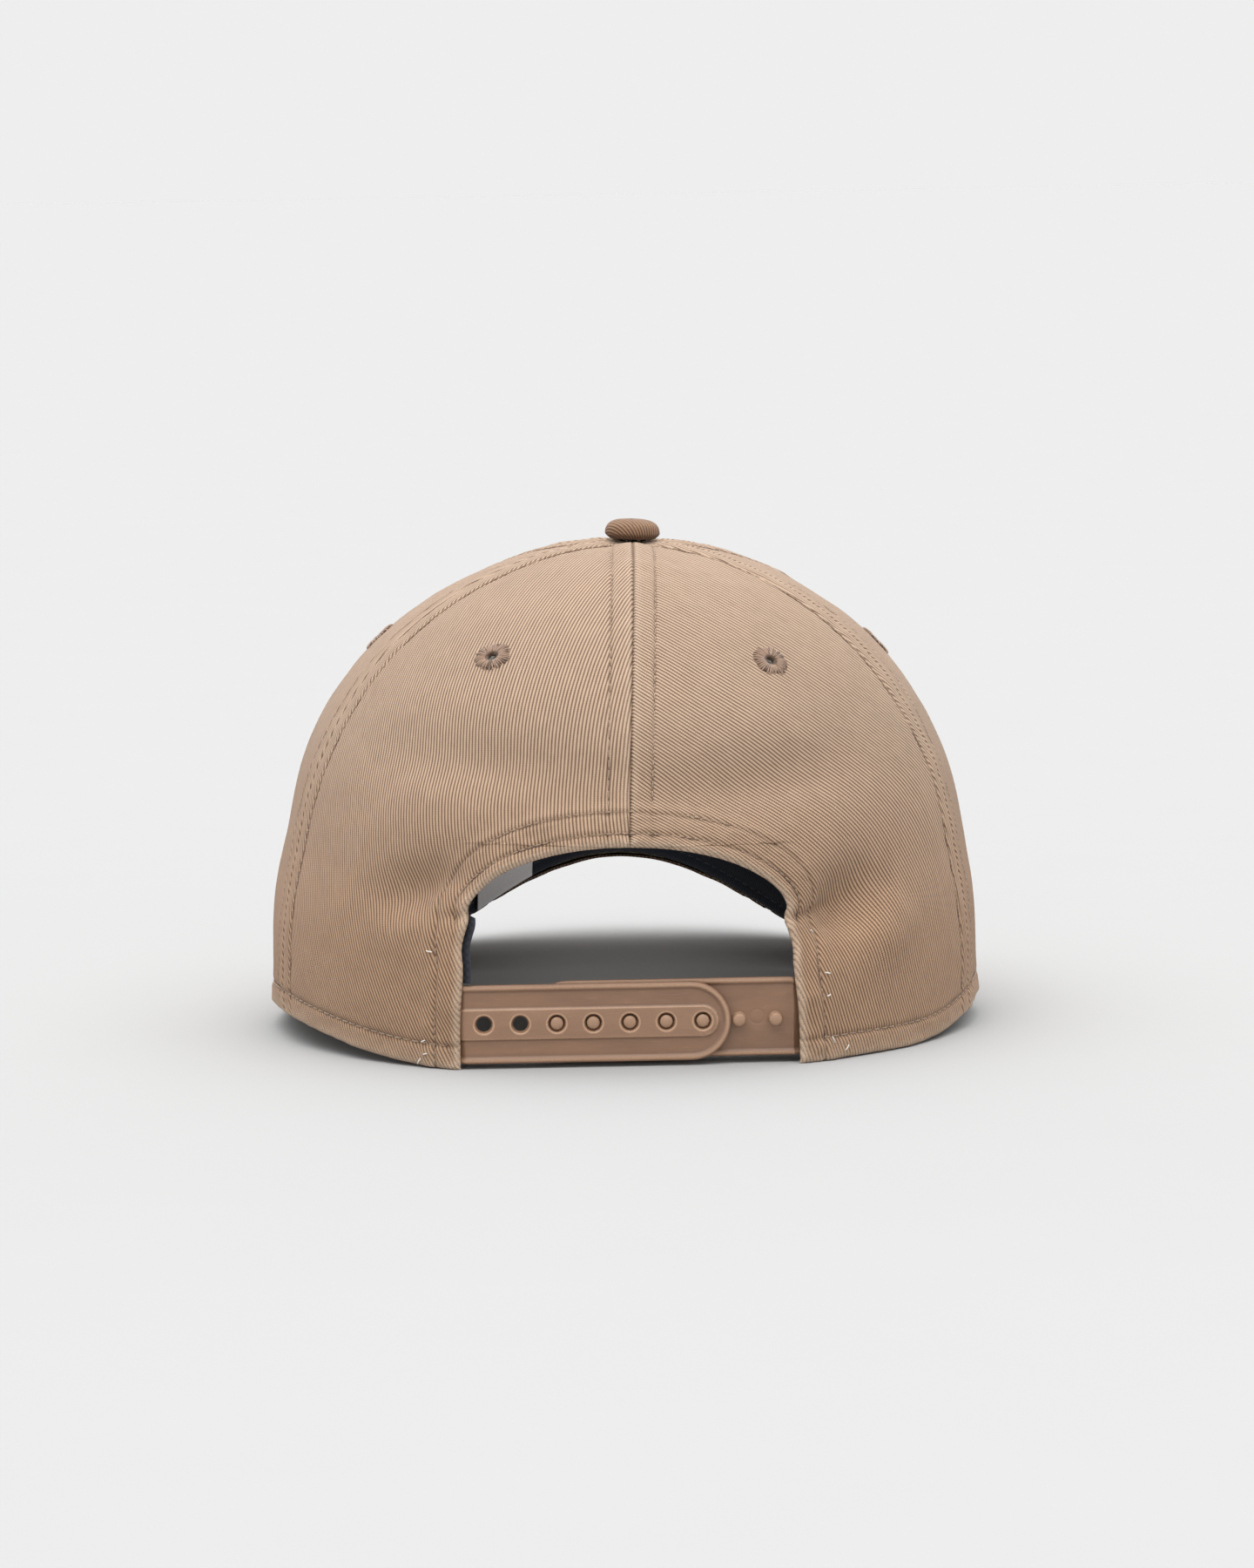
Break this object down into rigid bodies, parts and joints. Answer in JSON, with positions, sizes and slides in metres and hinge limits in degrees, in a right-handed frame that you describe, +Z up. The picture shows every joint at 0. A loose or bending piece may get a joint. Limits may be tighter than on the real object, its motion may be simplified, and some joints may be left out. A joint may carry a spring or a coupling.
{
  "type": "baseball cap",
  "caption": "Six-panel cotton twill cap with a curved visor, embroidered eyelets, a covered button, an inner sweatband and an adjustable plastic snap closure at the back.",
  "frame": {"origin": "on the surface that the cap stands on, midway between the back of the crown and the tip of the visor", "axes": "+Z up through the button; +Y towards the visor's tip, so the snap closure faces -Y; +X to the wearer's right"},
  "size_m": [0.194, 0.2628, 0.1372],
  "materials": {
    "twill": "tan cotton twill",
    "buckram": "stiff white open weave",
    "black_tape": "black woven tape",
    "sweatband": "black brushed cotton twill",
    "foam": "grey foam strip",
    "label": "blank woven satin label",
    "eyelet_thread": "satin-stitched tan thread",
    "button_metal": "pressed steel",
    "visor_board": "ivory plastic board",
    "visor_lining": "tan cotton twill underside",
    "strap_plastic": "satin tan moulded polyethylene"
  },
  "bodies": {
    "crown": {"back_panel_left": "twill", "back_panel_right": "twill", "side_panel_left": "twill", "side_panel_right": "twill", "front_panel_left": "twill", "front_panel_right": "twill", "button_cover": "twill", "visor_top_cover": "twill", "buckram_left": "buckram", "buckram_right": "buckram", "seam_tape_back": "black_tape", "seam_tape_back_left": "black_tape", "seam_tape_back_right": "black_tape", "seam_tape_side_left": "black_tape", "seam_tape_side_right": "black_tape", "seam_tape_front": "black_tape", "arch_binding": "black_tape", "sweatband": "sweatband", "sweatband_core": "foam", "blank_label": "label", "eyelet_back_left": "eyelet_thread", "eyelet_back_right": "eyelet_thread", "eyelet_side_left": "eyelet_thread", "eyelet_side_right": "eyelet_thread", "eyelet_front_left": "eyelet_thread", "eyelet_front_right": "eyelet_thread", "button_shell": "button_metal", "button_stud": "button_metal", "button_back_plate": "button_metal", "visor_board": "visor_board", "visor_under_cover": "visor_lining", "hole_strap_root": "strap_plastic", "peg_strap_root": "strap_plastic"},
    "hole_strap": {"hole_strap": "strap_plastic"},
    "peg_strap": {"peg_strap": "strap_plastic"}
  },
  "joints": [
    {"name": "hole_strap_peel", "type": "hinge", "parent": "crown", "child": "hole_strap", "pos_m": [-0.0415, -0.1237, 0.0117], "axis": [0, 0, -1], "range_deg": [0, 100]},
    {"name": "peg_strap_swing", "type": "hinge", "parent": "crown", "child": "peg_strap", "pos_m": [0.0415, -0.12155, 0.0122], "axis": [0, 0, -1], "range_deg": [0, 60]}
  ]
}
